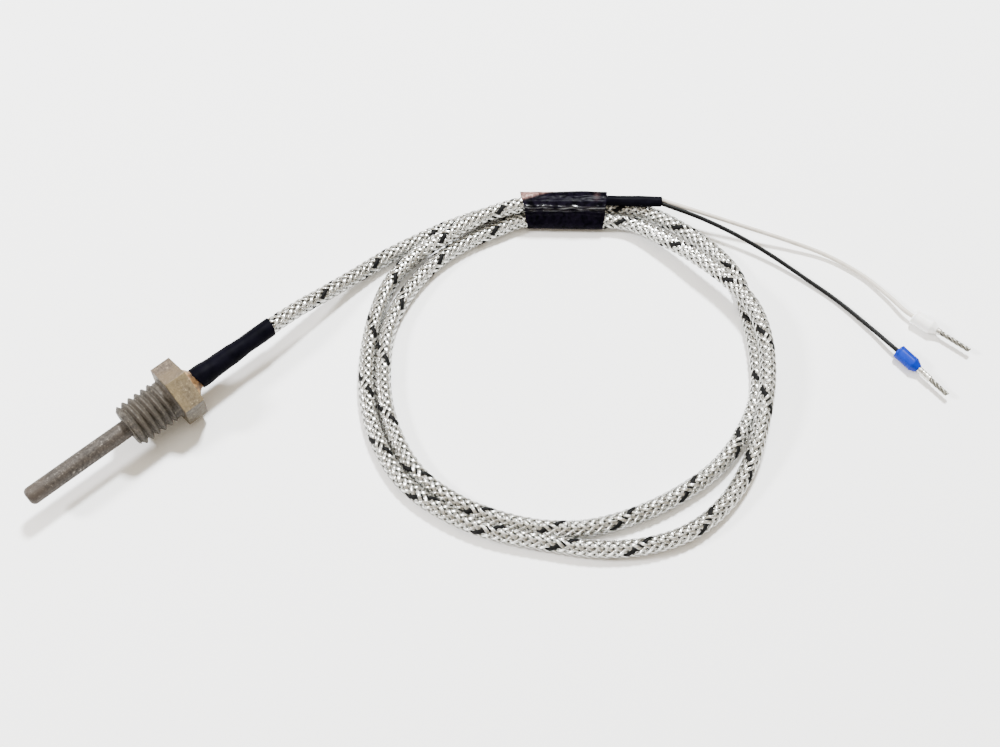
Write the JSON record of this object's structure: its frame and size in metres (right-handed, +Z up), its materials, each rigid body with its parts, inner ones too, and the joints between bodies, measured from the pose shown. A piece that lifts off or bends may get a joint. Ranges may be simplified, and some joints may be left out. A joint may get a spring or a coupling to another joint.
{
  "type": "thermocouple",
  "caption": "Screw-in thermocouple with a closed steel stem, threaded hex bushing and metal-braided lead coiled under a tape, ending in ferruled wires.",
  "frame": {"origin": "on the table, under the middle of the probe: the bottom centre of the box round stem, bushing and boot", "axes": "+X along the stem from its tip towards the lead, +Z up from the table"},
  "size_m": [0.1406, 0.0953, 0.0114],
  "materials": {
    "stem_steel": "dull, oxidised, finely grained",
    "bushing_steel": "dull nickel-plated steel, grainy",
    "braze": "rough braze flux, brown",
    "heat_shrink": "satin black heat shrink",
    "metal_braid": "woven bright wire braid with a black tracer",
    "tape": "glossy black film tape",
    "black_insulation": "matt black insulation",
    "white_insulation": "off-white insulation",
    "blue_plastic": "moulded blue collar",
    "white_plastic": "moulded white collar",
    "tinned_copper": "tinned copper, bright",
    "conductor_metal": "bare alloy wire",
    "potting": "chalky cement",
    "seal_compound": "cured resin"
  },
  "bodies": {
    "root": {"probe_stem": "stem_steel", "measuring_junction": "conductor_metal", "positive_conductor": "conductor_metal", "negative_conductor": "conductor_metal", "white_core_insulation": "white_insulation", "black_core_insulation": "black_insulation", "tip_cement": "potting", "rear_seal": "seal_compound", "threaded_bushing": "bushing_steel", "braze_collar": "braze", "heat_shrink_boot": "heat_shrink", "braided_lead": "metal_braid", "binding_tape": "tape", "lead_end_sleeve": "heat_shrink", "black_wire": "black_insulation", "white_wire": "white_insulation", "blue_ferrule_collar": "blue_plastic", "blue_ferrule_barrel": "tinned_copper", "black_wire_strands": "tinned_copper", "white_ferrule_collar": "white_plastic", "white_ferrule_barrel": "tinned_copper", "white_wire_strands": "tinned_copper"}
  },
  "joints": []
}
